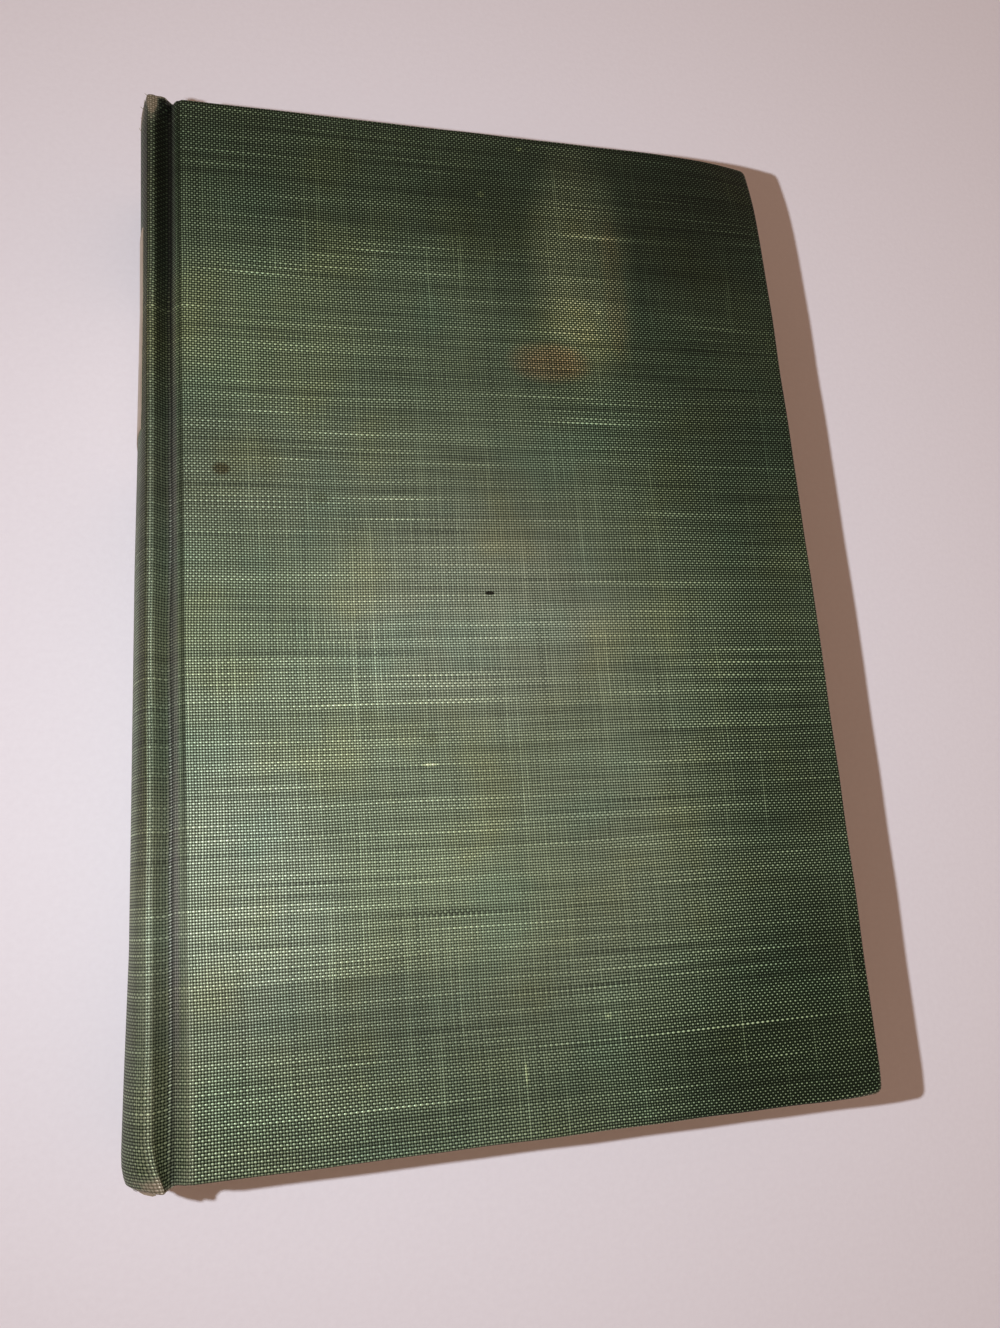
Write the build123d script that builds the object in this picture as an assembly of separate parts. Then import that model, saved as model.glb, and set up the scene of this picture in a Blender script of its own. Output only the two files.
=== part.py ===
"""Cloth-bound hardback book, lying closed on its back cover.

Frame: +X from the spine to the fore edge, +Y from tail to head, +Z up through the front cover.
The origin is under the middle of the book, on the surface that it lies on. All sizes are in mm.

The book is drawn about its middle leaf (z = 0) with x = 0 at the covers' joint edges, and is
moved to its own frame when it is written. The front half is drawn, and the back half mirrors it,
apart from the bumped corner that only the front cover has.
"""

import os
from math import acos, atan2, cos, hypot, pi, sin, sqrt

from build123d import *

# ---- Driving dimensions -------------------------------------------------------------------
board_width = 119.4  # bare board, joint edge to fore edge
board_height = 189.6  # bare board, tail to head
board_thickness = 2.6
block_thickness = 22.2  # pages alone, pressed shut

cloth = 0.45  # book cloth
paper = 0.15  # endpapers and label
gauze = 0.25  # spine gauze
lining = 0.2  # lining paper on the spine
inlay = 0.7  # card strip inside the spine cloth

square = 3.0  # how far the covers stand out past the pages
turn_in = 15.0  # cloth folded over the boards' edges
board_corner = 1.5  # plan radius of the covered corners at the fore edge
endpaper_margin = 2.5  # pastedown's edge in from the cover's edge

spine_round = 4.5  # how far the spine stands out past its two ridges
ridge_out = 4.9  # ridge centre to the board's joint edge
ridge_radius = 1.0
ridge_drop = 0.25  # ridge top below the cover's face
groove_out = 2.45  # groove centre to the board's joint edge
groove_radius = 0.7
groove_depth = 2.25
edge_radius = 1.0  # roll of the cloth over the board's joint edge
cap_out = 1.2  # spine strip past the boards at head and tail
hollow = 0.4  # air behind the spine's turned-in cloth

shoulder_rise = 1.2  # pages' shoulders above the flat of the pages
shoulder_run = 1.1  # length of the slope that goes up to the shoulder
gauze_inset = 13.75  # gauze's ends in from the pages' ends
gauze_flap = 25.0  # gauze glued to each board
lining_inset = 0.8  # lining paper's ends in from the pages' ends

thread = 0.5  # sewing thread
thread_kerf = 0.1  # room beside the thread in its saw cut
stations = 5  # lines of stitches across the spine
station_inset = 17.25  # first and last line of stitches in from the pages' ends
stitch_inset = 1.0  # a line of stitches' ends in from the pages' flat sides

band_bead = 1.8  # headband's bead, across
band_rise = 1.6  # headband's bead above the pages' end
band_tab = 8.0  # headband's tape, glued down the spine
band_inset = 1.2  # headband's ends in from the pages' flat sides
band_roll = 0.85  # round of the bead's upper edges

label_height = 40.0
label_width = 23.0  # across the spine, straight
label_drop = 26.95  # label's upper edge below the spine's head

bump_reach = 19.0  # tip of the bumped corner to where its bend begins
bump_drop = 2.4  # how far the tip is pushed down

page_gap = 0.1  # air between a cover and the pages
split = 0.1  # gap where the spine's cloth and a cover's cloth meet in the groove
slack = 0.02  # air round a piece that lies inside another
past = 1.0  # how far a cut runs past what it cuts

# ---- Levels above the middle leaf ---------------------------------------------------------
block_top = block_thickness / 2
flyleaf_top = block_top + paper
inside_face = flyleaf_top + page_gap  # pastedown's face over the turned-in cloth
turned_low = inside_face + paper
board_low = turned_low + cloth
board_top = board_low + board_thickness
cover_top = board_top + cloth

# ---- Plan sizes ---------------------------------------------------------------------------
board_joint = cloth  # bare board's edge at the joint
board_front = board_joint + board_width  # bare board's fore edge
board_end = board_height / 2  # bare board's head and tail
cover_front = board_front + cloth  # covered fore edge
cover_end = board_end + cloth  # covered head and tail
spine_end = cover_end + cap_out
inlay_end = spine_end - cloth - slack
page_end = cover_end - square
gauze_end = page_end - gauze_inset
fore_edge = cover_front - square
far = 4 * board_height  # longer than anything here
stitch_end = block_top - stitch_inset

# ---- Spine section: circles joined by tangent lines ---------------------------------------
ridge_z = cover_top - ridge_drop - ridge_radius
ridge = (-ridge_out, ridge_z)
groove = (-groove_out, cover_top - groove_depth + groove_radius)
edge = (edge_radius, cover_top - edge_radius)

# The spine's big arc is round (arc_x, 0) and touches both ridge circles from outside.
spine_back = -ridge_out - spine_round  # furthest point of the cloth
reach = -ridge_out - spine_back
arc_radius = (ridge_z**2 + reach**2 - ridge_radius**2) / (2 * (reach - ridge_radius))
arc_x = spine_back + arc_radius

inlay_out = arc_radius - cloth
inlay_in = inlay_out - inlay
turned_in = inlay_in - cloth
lining_out = turned_in - hollow
lining_in = lining_out - lining
block_radius = lining_in - gauze


def leaning(start, finish, total):
    """Angle of the normal of a line that touches two circles whose radii, with sign, add to total."""
    dx, dz = finish[0] - start[0], finish[1] - start[1]
    return atan2(dz, dx) + acos(total / hypot(dx, dz))


ridge_angle = atan2(ridge[1], ridge[0] - arc_x)
flank_angle = leaning(ridge, groove, ridge_radius + groove_radius)
ramp_angle = leaning(groove, edge, -(groove_radius + edge_radius))
split_turn = split / 2 / groove_radius


def around(centre, radius, angle):
    return centre[0] + radius * cos(angle), centre[1] + radius * sin(angle)


def arc(centre, radius, first, last):
    """Arc from angle first to angle last, in radians, in the section's plane."""
    middle = (first + last) / 2
    points = (around(centre, radius, a) for a in (first, middle, last))
    return ThreePointArc(*points)


def spine_line(depth):
    """Edges of the front half of the spine's surface, depth below it, from the middle to the groove."""
    centre = (arc_x, 0)
    return [
        arc(centre, arc_radius - depth, pi, ridge_angle),
        arc(ridge, ridge_radius - depth, ridge_angle, flank_angle),
        Line(
            around(ridge, ridge_radius - depth, flank_angle),
            around(groove, -(groove_radius + depth), flank_angle),
        ),
        arc(groove, -(groove_radius + depth), flank_angle, pi / 2 - split_turn),
    ]


def ramp_line(depth, length):
    """Edges of a cover's surface, depth below it, from the groove's bottom up on to the board."""
    top = cover_top - depth
    return [
        arc(groove, -(groove_radius + depth), pi / 2 + split_turn, ramp_angle),
        Line(
            around(groove, -(groove_radius + depth), ramp_angle),
            around(edge, edge_radius - depth, ramp_angle),
        ),
        arc(edge, edge_radius - depth, ramp_angle, pi / 2),
        Line((edge_radius, top), (length, top)),
    ]


def strip(outer, inner):
    """Face between two chains of edges that run the same way."""
    ends = [Line(outer[0] @ 0, inner[0] @ 0), Line(outer[-1] @ 1, inner[-1] @ 1)]
    return make_face(Wire([*outer, *inner, *ends]))


def along(section, low, high):
    """Section, drawn in x and z, drawn out along Y from low to high."""
    placed = Plane((0, high, 0), x_dir=(1, 0, 0), z_dir=(0, -1, 0)) * section
    return extrude(placed, high - low)


def both_halves(solid):
    """The front half of a piece, and its mirror image behind the middle leaf, as one solid."""
    whole = solid + mirror(solid, Plane.XY)
    return whole.clean()


def ring(outer, inner, half_height, low, high):
    """Length of the spine's curved layer between two radii, cut off half_height above and below z = 0."""
    first = pi - atan2(half_height, sqrt(inner**2 - half_height**2))
    centre = (arc_x, 0)
    section = strip(
        [arc(centre, outer, 2 * pi - first, first)],
        [arc(centre, inner, 2 * pi - first, first)],
    )
    return along(section, low, high)


# ---- Cover layers, with the front cover's bumped corner -----------------------------------
bump_radius = (bump_reach**2 + bump_drop**2) / (2 * bump_drop)
tip_reach = (cover_front + cover_end) / sqrt(2)  # from x = y = 0, along the corner's diagonal
bend_start = tip_reach - bump_reach
bend_centre = (bend_start, cover_top - bump_radius)
bend_last = pi / 2 - (bump_reach + turn_in) / bump_radius


def bend_line(level):
    """Arc that a flat level follows once it bends down towards the bumped corner."""
    return arc(bend_centre, level - bend_centre[1], pi / 2, bend_last)


def across_corner(section):
    """Section drawn along the corner's diagonal, drawn out both ways across it."""
    diagonal = Plane((0, 0, 0), x_dir=(1, 1, 0), z_dir=(1, -1, 0))
    return extrude(diagonal * section, far, both=True)


def bent(low, high):
    """Slab between two levels that bends down towards the bumped corner."""
    tops = [Line((-far, high), (bend_start, high)), bend_line(high)]
    bottoms = [Line((-far, low), (bend_start, low)), bend_line(low)]
    return across_corner(strip(tops, bottoms))


def above_bend(level):
    """All that lies over a level's bend and under the cover's face."""
    return across_corner(strip([bend_line(level)], [Line((bend_start, cover_top), (far, cover_top))]))


def plate(left, right, end, low, high, bumped, radius=0.0):
    """Flat layer of a cover, with round corners at the fore edge, bent down at the bumped corner."""
    outline = Location(((left + right) / 2, 0)) * Rectangle(right - left, 2 * end)
    if radius:
        outline = fillet(outline.vertices().group_by(Axis.X)[-1], radius)
    if not bumped:
        return extrude(Location((0, 0, low)) * outline, high - low)
    return extrude(Location((0, 0, -cover_top)) * outline, 2 * cover_top) & bent(low, high)


def bare_board(bumped):
    radius = board_corner - cloth
    return plate(board_joint, board_front, board_end, board_low, board_top, bumped, radius)


def board(bumped):
    """Board, with its upper joint edge rounded where the cloth rolls over it."""
    joint_edges = bare_board(bumped).edges().filter_by(Axis.Y).group_by(Axis.X)[0]
    return fillet(joint_edges.group_by(Axis.Z)[-1], edge_radius - cloth)


def cover_cloth(bumped):
    """Cloth over the board's face and edges, turned in at head, tail and fore edge, with the joint."""
    sheet_from = 2 * edge_radius
    skin = plate(sheet_from, cover_front, cover_end, turned_low, cover_top, bumped, board_corner)
    field = cover_end - turn_in
    skin -= plate(-far, cover_front - turn_in, field, turned_low - past, board_low, bumped)
    skin -= bare_board(bumped)
    joint = along(
        strip(ramp_line(0, sheet_from), ramp_line(cloth, sheet_from)), -cover_end, cover_end
    )
    return skin + joint


def gauze_piece():
    low = board_low - gauze
    return plate(board_joint, gauze_flap, gauze_end, low, board_low, False)


def pastedown(bumped):
    """Endpaper pasted inside a cover, stepping down off the turned-in cloth and the gauze."""
    margin = cloth + endpaper_margin
    right, end = cover_front - margin, cover_end - margin
    sheet = plate(board_joint, right, end, inside_face, board_low - slack, bumped)

    # Room for the turned-in cloth, all round the field that it leaves.
    field_right, field_end = cover_front - turn_in - slack, cover_end - turn_in - slack
    under = turned_low - slack
    turned = plate(-past, right + past, end + past, under, board_low, bumped)
    turned -= plate(-2 * past, field_right, field_end, under - past, board_top, False)
    sheet -= turned

    # Room for the gauze, then the paper's own face in the field and over the gauze.
    over_gauze = board_low - gauze - slack
    gauze_right = gauze_flap + slack
    sheet -= plate(-past, gauze_right, gauze_end + slack, over_gauze, board_low, False)
    low, inner_end = inside_face - past, field_end - paper
    step_right = gauze_right + paper
    sheet -= plate(step_right, field_right - paper, inner_end, low, board_low - slack - paper, False)
    sheet -= plate(-past, step_right + slack, inner_end, low, over_gauze - paper, False)
    return sheet


# ---- Pages and what is glued to their spine -----------------------------------------------
shoulder_z = block_top + shoulder_rise
shoulder_x = arc_x - sqrt(block_radius**2 - shoulder_z**2)
root_x = shoulder_x + shoulder_run
spine_at_top = arc_x - sqrt(block_radius**2 - block_top**2)
leaf_width = fore_edge - spine_at_top
hollow_x = arc_x + leaf_width  # centre of the fore edge's hollow


def station_places():
    first = station_inset - page_end
    step = -2 * first / (stations - 1)
    return [first + n * step for n in range(stations)]


def page_section():
    """Half of the pages' end: round spine, shoulder, flat side and hollow fore edge."""
    tip_angle = atan2(shoulder_z, shoulder_x - arc_x)
    fore_angle = pi - atan2(block_top, hollow_x - fore_edge)
    edges = [
        arc((arc_x, 0), block_radius, pi, tip_angle),
        Line((shoulder_x, shoulder_z), (root_x, block_top)),
        Line((root_x, block_top), (fore_edge, block_top)),
        arc((hollow_x, 0), block_radius, fore_angle, pi),
        Line((hollow_x - block_radius, 0), (arc_x - block_radius, 0)),
    ]
    return make_face(Wire(edges))


def pages():
    """Pages with the cover's bump pressed into one corner, and a saw cut for each line of stitches."""
    back_half = mirror(along(page_section(), -page_end, page_end), Plane.XY)
    front_half = along(page_section(), -page_end, page_end) - above_bend(block_top)
    whole = front_half + back_half
    block = whole.clean()
    cut_floor = block_radius - thread - thread_kerf
    half = thread / 2 + thread_kerf
    for place in station_places():
        block -= ring(block_radius + gauze, cut_floor, stitch_end, place - half, place + half)
    return block


def sewing_thread():
    outer = block_radius - thread_kerf / 2
    half_height = stitch_end - thread_kerf
    lines = [
        ring(outer, outer - thread, half_height, place - thread / 2, place + thread / 2)
        for place in station_places()
    ]
    return Compound(lines)


def spine_gauze():
    """Open-weave cloth over the pages' spine and down both shoulders."""
    tip_angle = atan2(shoulder_z, shoulder_x - arc_x)
    slope = atan2(shoulder_run, shoulder_rise)
    tip = (shoulder_x, shoulder_z)
    foot = (root_x, block_top)
    lift = (gauze * cos(slope), gauze * sin(slope))
    outer = [
        arc((arc_x, 0), block_radius + gauze, pi, tip_angle),
        arc(tip, gauze, tip_angle, slope),
        Line(around(tip, gauze, slope), (foot[0] + lift[0], foot[1] + lift[1])),
    ]
    inner = [arc((arc_x, 0), block_radius, pi, tip_angle), Line(tip, foot)]
    section = strip(outer, inner)
    return both_halves(along(section, -gauze_end, gauze_end))


def lining_paper():
    end = page_end - lining_inset
    return ring(lining_out, lining_in + slack, block_top, -end, end)


def headband():
    """Woven band on the head of the pages: a bead on their ends, and a tape down their spine."""
    half_height = block_top - band_inset
    tape = ring(lining_in, block_radius, half_height, page_end - band_tab, page_end)
    bead = ring(lining_in, lining_in - band_bead, half_height, page_end, page_end + band_rise)
    top_edges = bead.edges().filter_by(GeomType.CIRCLE).group_by(Axis.Y)[-1]
    return tape + fillet(top_edges, band_roll)


def flyleaf(bumped):
    return plate(root_x + gauze + slack, fore_edge, page_end, block_top, flyleaf_top, bumped)


# ---- Spine strip ---------------------------------------------------------------------------
def spine_inlay():
    return ring(inlay_out, inlay_in, ridge_z - ridge_radius, -inlay_end, inlay_end)


def spine_cloth():
    """Cloth over the spine strip and both ridges, turned in over the strip's two ends."""
    outer_edges, inner_edges = spine_line(0), spine_line(cloth)
    skin = both_halves(along(strip(outer_edges, inner_edges), -spine_end, spine_end))
    half_height = ridge_z - ridge_radius
    for side in (-1, 1):
        start = side * spine_end
        fold_low, fold_high = sorted((start, start - side * turn_in))
        skin += ring(inlay_in, turned_in, half_height, fold_low, fold_high)
        lip_low, lip_high = sorted((start, start - side * cloth))
        skin += ring(inlay_out, inlay_in, half_height, lip_low, lip_high)
    return skin


def spine_label():
    high = spine_end - label_drop
    return ring(arc_radius + paper, arc_radius, label_width / 2, high - label_height, high)


# ---- Assembly ------------------------------------------------------------------------------
def cover(side, bumped):
    return {
        side + "_board": board(bumped),
        side + "_cover_cloth": cover_cloth(bumped),
        side + "_gauze_flap": gauze_piece(),
        side + "_pastedown": pastedown(bumped),
    }


def flipped(parts):
    return {name: mirror(solid, Plane.XY) for name, solid in parts.items()}


head_band = headband()
parts = {
    "pages": pages(),
    "sewing_thread": sewing_thread(),
    "spine_gauze": spine_gauze(),
    "spine_lining_paper": lining_paper(),
    "head_band": head_band,
    "tail_band": mirror(head_band, Plane.XZ),
    "front_flyleaf": flyleaf(True),
    "back_flyleaf": mirror(flyleaf(False), Plane.XY),
    "spine_inlay": spine_inlay(),
    "spine_cloth": spine_cloth(),
    "spine_label": spine_label(),
    **cover("front", True),
    **flipped(cover("back", False)),
}

back_of_label = arc_x - arc_radius - paper
to_frame = Location((-(cover_front + back_of_label) / 2, 0, cover_top))

os.makedirs("parts", exist_ok=True)
for name, piece in parts.items():
    placed = [to_frame * solid for solid in piece.solids()]
    export_step(Compound(placed), f"parts/{name}.step")

hinge = (to_frame.position.X + ridge[0], ridge_z)
print("front hinge axis at x", round(hinge[0], 3), "z", round(cover_top + hinge[1], 3))
print("back hinge axis at x", round(hinge[0], 3), "z", round(cover_top - hinge[1], 3))
print("overall", round(cover_front - back_of_label, 2), 2 * spine_end, 2 * cover_top)
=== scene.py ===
"""A cloth-bound hardback, closed and lying on its back cover.

Pieces are drawn in mm about the middle leaf, with x = 0 at the covers' joint edges. Each drawn
piece then takes its cover's worn shape, leans as the spine leans, and moves to the frame in metres.
"""

import math
import random
from collections import namedtuple

import bmesh
import bpy
from mathutils import Matrix, Vector, noise


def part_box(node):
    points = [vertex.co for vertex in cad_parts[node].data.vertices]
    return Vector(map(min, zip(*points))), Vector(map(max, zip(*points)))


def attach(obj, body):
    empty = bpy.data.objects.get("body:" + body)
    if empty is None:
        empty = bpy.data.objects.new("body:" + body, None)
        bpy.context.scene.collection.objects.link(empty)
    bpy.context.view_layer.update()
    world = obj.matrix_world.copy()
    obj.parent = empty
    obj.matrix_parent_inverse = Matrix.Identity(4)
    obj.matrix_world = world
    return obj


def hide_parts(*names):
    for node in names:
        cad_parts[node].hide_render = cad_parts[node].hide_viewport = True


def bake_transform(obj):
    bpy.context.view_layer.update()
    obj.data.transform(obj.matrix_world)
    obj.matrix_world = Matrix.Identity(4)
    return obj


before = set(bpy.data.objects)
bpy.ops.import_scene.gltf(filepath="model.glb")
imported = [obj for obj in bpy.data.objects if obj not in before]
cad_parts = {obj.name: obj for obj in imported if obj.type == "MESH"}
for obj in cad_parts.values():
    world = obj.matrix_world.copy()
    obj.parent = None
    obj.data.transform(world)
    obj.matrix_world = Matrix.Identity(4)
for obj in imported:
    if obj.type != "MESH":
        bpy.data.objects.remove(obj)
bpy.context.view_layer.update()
pi = math.pi

# ---- Sizes of the binding, in mm ----
cover_front, cover_end, cover_top = 120.3, 95.25, 15.0
turned_low, inside_face = 11.5, 11.35
block_top, page_end, fore_edge = 11.1, 92.25, 117.3
shoulder_rise, shoulder_x, root_x = 1.2, -4.023, -2.923
arc_x, arc_radius, block_radius = 20.359, 29.759, 27.309
hollow_x = 142.251
ridge, groove, edge = (-4.9, 13.75), (-2.45, 13.45), (1.0, 14.0)
ridge_radius, groove_radius, edge_radius = 1.0, 0.7, 1.0
ridge_angle, flank_angle, ramp_angle = 2.6431, 0.6892, 2.2371
bump_radius, bend_start = 76.41, 133.42
board_thick = cover_top - turned_low
strip_thick, joint_thick = 1.6, 0.6
hem_inset, turn_in = 1.5, 15.0
cap_out, bridge_level = 1.2, 14.45
cloth_thick, edge_roll, spine_roll = 0.28, 0.55, 0.79
seam_angle = ridge_angle + 0.05
# From drawn places to the frame, whose origin is under the middle of the closed book.
frame_shift = Vector((-55.375, 0.0, cover_top))
thread_pitch, mesh_step = 0.478, 1.6
pasted_fore, pasted_end = cover_front - 2.95, 92.3
label_half, label_low, label_high, label_lift = 12.0, 29.5, 69.5, 0.16
band_half, band_radius, bead_radius, bead_lift = 9.8, 26.66, 0.8, 0.72
tape_outer, tape_inner = 27.5, 27.33

random.seed(41)


def smooth(low, high, x):
    t = min(1.0, max(0.0, (x - low) / (high - low)))
    return t * t * (3 - 2 * t)


def lerp(a, b, t):
    return a + (b - a) * t


def between(table, x):
    """Straight-line reading of a table of (x, values)."""
    for (x0, a), (x1, b) in zip(table, table[1:]):
        if x <= x1:
            t = max(0.0, (x - x0) / (x1 - x0))
            return [lerp(p, q, t) for p, q in zip(a, b)]
    return list(table[-1][1])


def ripple(x, y, seed=0.0):
    return noise.noise(Vector((x, y, seed)))


# ---- How the worn book departs from a new one ----
# The spine has leaned towards the fore edge by a curve in height: second and fourth powers.
# It goes through shifts at three heights from the middle leaf: 0, upper and crest.
upper_height, crest_height = 10.0, 14.75
# (crest / upper) squared, and crest to the fourth power less lean_ratio times upper to the fourth.
lean_ratio, lean_rest = 2.1756, 25579
# Places along the spine, with the shifts at the three heights there.
spine_lean = [
    (-96.0, (1.3, 0.4, 1.9)),
    (-94.8, (0.0, -0.9, 1.5)),
    (-93.4, (-0.5, -1.4, 0.9)),
    (-91.5, (-0.65, -1.6, 0.2)),
    (-88.5, (-0.65, -1.58, -0.4)),
    (-80.0, (-0.4, -1.33, -0.45)),
    (-60.0, (0.3, -0.63, -0.4)),
    (-35.0, (0.6, -0.33, -0.3)),
    (5.0, (1.1, 0.07, -0.15)),
    (35.0, (1.7, 0.67, 0.0)),
    (55.0, (2.1, 1.0, 0.1)),
    (95.25, (2.1, 1.07, 0.2)),
]


def leaned(x, y, z):
    """x of a point once the spine has leaned."""
    middle, upper, crest = between(spine_lean, y)
    fourth = ((crest - middle) - lean_ratio * (upper - middle)) / lean_rest
    second = (upper - middle) / upper_height**2 - upper_height**2 * fourth
    height = min(abs(z), crest_height)
    shift = middle + second * height**2 + fourth * height**4
    joint = smooth(11.5, 12.6, abs(z))
    hold = lerp(1 - smooth(-5.0, 3.0, x), 1 - smooth(-5.0, -2.2, x), joint)
    return x + shift * hold


def dip(x, y):
    """How far the front cover's bumped corner is pressed down."""
    past = (x + y) / math.sqrt(2) - bend_start
    return bump_radius - math.sqrt(bump_radius**2 - past**2) if past > 0 else 0.0


def bow(x, y):
    """How far the front board has bowed up off the pages."""
    return 0.95 * smooth(25, 119, x) * max(0.0, 1 - (y / 97) ** 2)


def worn_edges(x, y, seed):
    """Small wander of a cover's edges and corners."""
    out_x = 0.16 * ripple(y / 13, 1.3, seed) * smooth(100, 119, x)
    out_y = 0.16 * ripple(x / 13, 5.1, seed) * smooth(80, 95, abs(y)) * (1 if y > 0 else -1)
    return out_x, out_y


def pulled(x, y):
    """The front cover isn't quite square, and its joint is pressed nearer the board at the head."""
    across, along = min(1.0, max(0.0, x / 120)), (y + 95) / 190
    dx = across * lerp(0.6, -0.8, along)
    dx += lerp(0.1, 1.05, along) * math.exp(-(((x + 2.3) / 1.35) ** 2))
    dy = lerp(lerp(0.4, -0.15, across), lerp(0.5, 1.0, across), along) * smooth(-3.2, -1.6, x)
    return dx, dy


def front_shape(x, y, z):
    dx, dy = worn_edges(x, y, 2.0)
    pull_x, pull_y = pulled(x, y)
    dx, dy = dx + pull_x, dy + pull_y
    lift = bow(x, y) - dip(x, y)
    blunt = 0.12 * smooth(148.5, 152, (x - y) / math.sqrt(2))
    return x + dx - blunt, y + dy + blunt, z + lift - 0.8 * blunt


def front_board_shape(x, y, z):
    """The same for the board's own copy, which is made with its corner pressed down."""
    shaped_x, shaped_y, shaped_z = front_shape(x, y, z)
    return shaped_x, shaped_y, shaped_z + dip(x, y)


def back_shape(x, y, z):
    dx, dy = worn_edges(x, y, 7.0)
    return x + dx, y + dy, z


def as_drawn(x, y, z):
    """The pages and the spine, which only lean."""
    return x, y, z


def to_frame(x, y, z, shape, side=1):
    x, y, z = shape(x, y, z)
    return (Vector((leaned(x, y, z), y, side * z)) + frame_shift) / 1000


# ---- Drawing a piece ----
class Drawing:
    """Points with the place that each has on the flat cloth or paper, and faces between them."""

    def __init__(self):
        self.points, self.flat, self.faces, self.known = [], [], [], {}

    def point(self, place, flat, layer=0):
        key = (round(place[0], 4), round(place[1], 4), round(place[2], 4), layer)
        if key not in self.known:
            self.known[key] = len(self.points)
            self.points.append(tuple(place))
            self.flat.append(tuple(flat))
        return self.known[key]

    def face(self, corners):
        kept = []
        for corner in corners:
            if corner not in kept:
                kept.append(corner)
        if len(kept) > 2:
            self.faces.append(kept)

    def grid(self, rows, closed=False):
        for low, high in zip(rows, rows[1:]):
            pairs = list(zip(low, low[1:], high[1:], high))
            if closed:
                pairs.append((low[-1], low[0], high[0], high[-1]))
            for corners in pairs:
                self.face(corners)

    def made(self, name, shape, side=1, thick=0.0, crease=50):
        """The finished object in the frame, thickened inwards where thick isn't 0."""
        mesh = bpy.data.meshes.new(name)
        faces = self.faces if side > 0 else [face[::-1] for face in self.faces]
        mesh.from_pydata([(x, y, side * z) for x, y, z in self.points], [], faces)
        flat = mesh.attributes.new("flat", "FLOAT_VECTOR", "POINT")
        flat.data.foreach_set("vector", [c for place in self.flat for c in place])
        obj = bpy.data.objects.new(name, mesh)
        bpy.context.scene.collection.objects.link(obj)
        if thick:
            shell = obj.modifiers.new("thickness", "SOLIDIFY")
            shell.thickness, shell.offset = thick, -1
            graph = bpy.context.evaluated_depsgraph_get()
            mesh = bpy.data.meshes.new_from_object(obj.evaluated_get(graph))
            obj.modifiers.clear()
            obj.data = mesh
            mesh.name = name
        for vertex in mesh.vertices:
            x, y, z = vertex.co
            vertex.co = to_frame(x, y, side * z, shape, side)
        mesh.polygons.foreach_set("use_smooth", [True] * len(mesh.polygons))
        mesh.set_sharp_from_angle(angle=math.radians(crease))
        mesh.validate()
        mesh.update()
        return obj


def arc(centre, radius, first, last, count):
    """count stations (x, z, normal x, normal z) along an arc, without its last; radius < 0 is hollow."""
    stations = []
    for k in range(count):
        angle = lerp(first, last, k / count)
        nx, nz = math.cos(angle), math.sin(angle)
        stations.append((centre[0] + radius * nx, centre[1] + radius * nz, nx, nz))
    return stations


def straight(a, b, count):
    return [tuple(lerp(p, q, k / count) for p, q in zip(a, b)) for k in range(count)]


def spread(low, high, step):
    count = max(1, round((high - low) / step))
    return [lerp(low, high, k / count) for k in range(count + 1)]


# ---- Covers' cloth: from a seam on the spine, over the joint and the board, and turned in ----
def joint_stations():
    """The cloth's way over the ridge and through the groove, up to the flat of the board."""
    stations = arc((arc_x, 0), arc_radius, seam_angle, ridge_angle, 6)
    stations += arc(ridge, ridge_radius, ridge_angle, flank_angle, 12)
    hollow = arc(groove, -groove_radius, flank_angle, ramp_angle, 9)
    stations += straight(arc(ridge, ridge_radius, flank_angle, 0, 1)[0], hollow[0], 4) + hollow
    rounding = arc(edge, edge_radius, ramp_angle, pi / 2, 6)
    stations += straight(arc(groove, -groove_radius, ramp_angle, 0, 1)[0], rounding[0], 4) + rounding
    return stations


def board_places():
    return spread(1.0, 4.0, 0.75)[:-1] + spread(4.0, cover_front - hem_inset, mesh_step)


def cap(x, y_side):
    """How far the cloth's end stands past the boards' ends, at x."""
    fray = 0.2 * ripple(x / 1.1, 3 * y_side, 4.0)
    out = cap_out - 0.2 if y_side > 0 else 0.3
    return (out + fray) * (1 - smooth(-2.5, -1.7, x))


def end_wear(place, reach):
    """Rubbing near the spine's two ends, which have been pulled at."""
    patch = 0.75 + 0.5 * ripple(place.x / 2.5, place.y / 2.5, 6.0)
    near = math.exp(-(((reach - abs(place.y)) / (3.7 if place.y > 0 else 1.3)) ** 2))
    worn = 1.6 * patch * near * (1 - smooth(-4.4, -3.3, place.x))
    if place.y < 0:
        spots = math.exp(-(((place.x + 6.3) / 1.0) ** 2)) + math.exp(-(((place.x + 1.0) / 1.3) ** 2))
        worn += 0.9 * spots * math.exp(-(((reach - abs(place.y)) / 1.4) ** 2))
    return worn


def hem_steps(roll, depth):
    """Cloth's way round an edge: (out from the base line, down, length of cloth) at each step."""
    flat = hem_inset - roll
    fall = depth - 2 * roll
    quarter = roll * pi / 2
    steps = [(flat / 2, 0, flat / 2), (flat, 0, flat)]
    for k in range(1, 6):
        a = k * pi / 10
        steps.append((flat + roll * math.sin(a), roll * (1 - math.cos(a)), flat + roll * a))
    for k in (1, 2, 3):
        steps.append((hem_inset, roll + fall * k / 3, flat + quarter + fall * k / 3))
    for k in range(1, 6):
        a = k * pi / 10
        out, down = flat + roll * math.cos(a), depth - roll + roll * math.sin(a)
        steps.append((out, down, flat + quarter + fall + roll * a))
    whole = flat + 2 * quarter + fall
    return steps + [(flat / 2, depth, whole + flat / 2), (0, depth, whole + flat)]


def cloth_depth(x):
    """Thickness of what the cloth is turned in over, and the roll of its edge."""
    depth = joint_thick + (board_thick - joint_thick) * smooth(-0.2, 1.3, x)
    depth += (strip_thick - joint_thick) * (1 - smooth(-6.3, -5.7, x))
    return depth, min(depth / 2, 0.8 - 0.25 * smooth(1.6, 3.5, depth))


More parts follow.
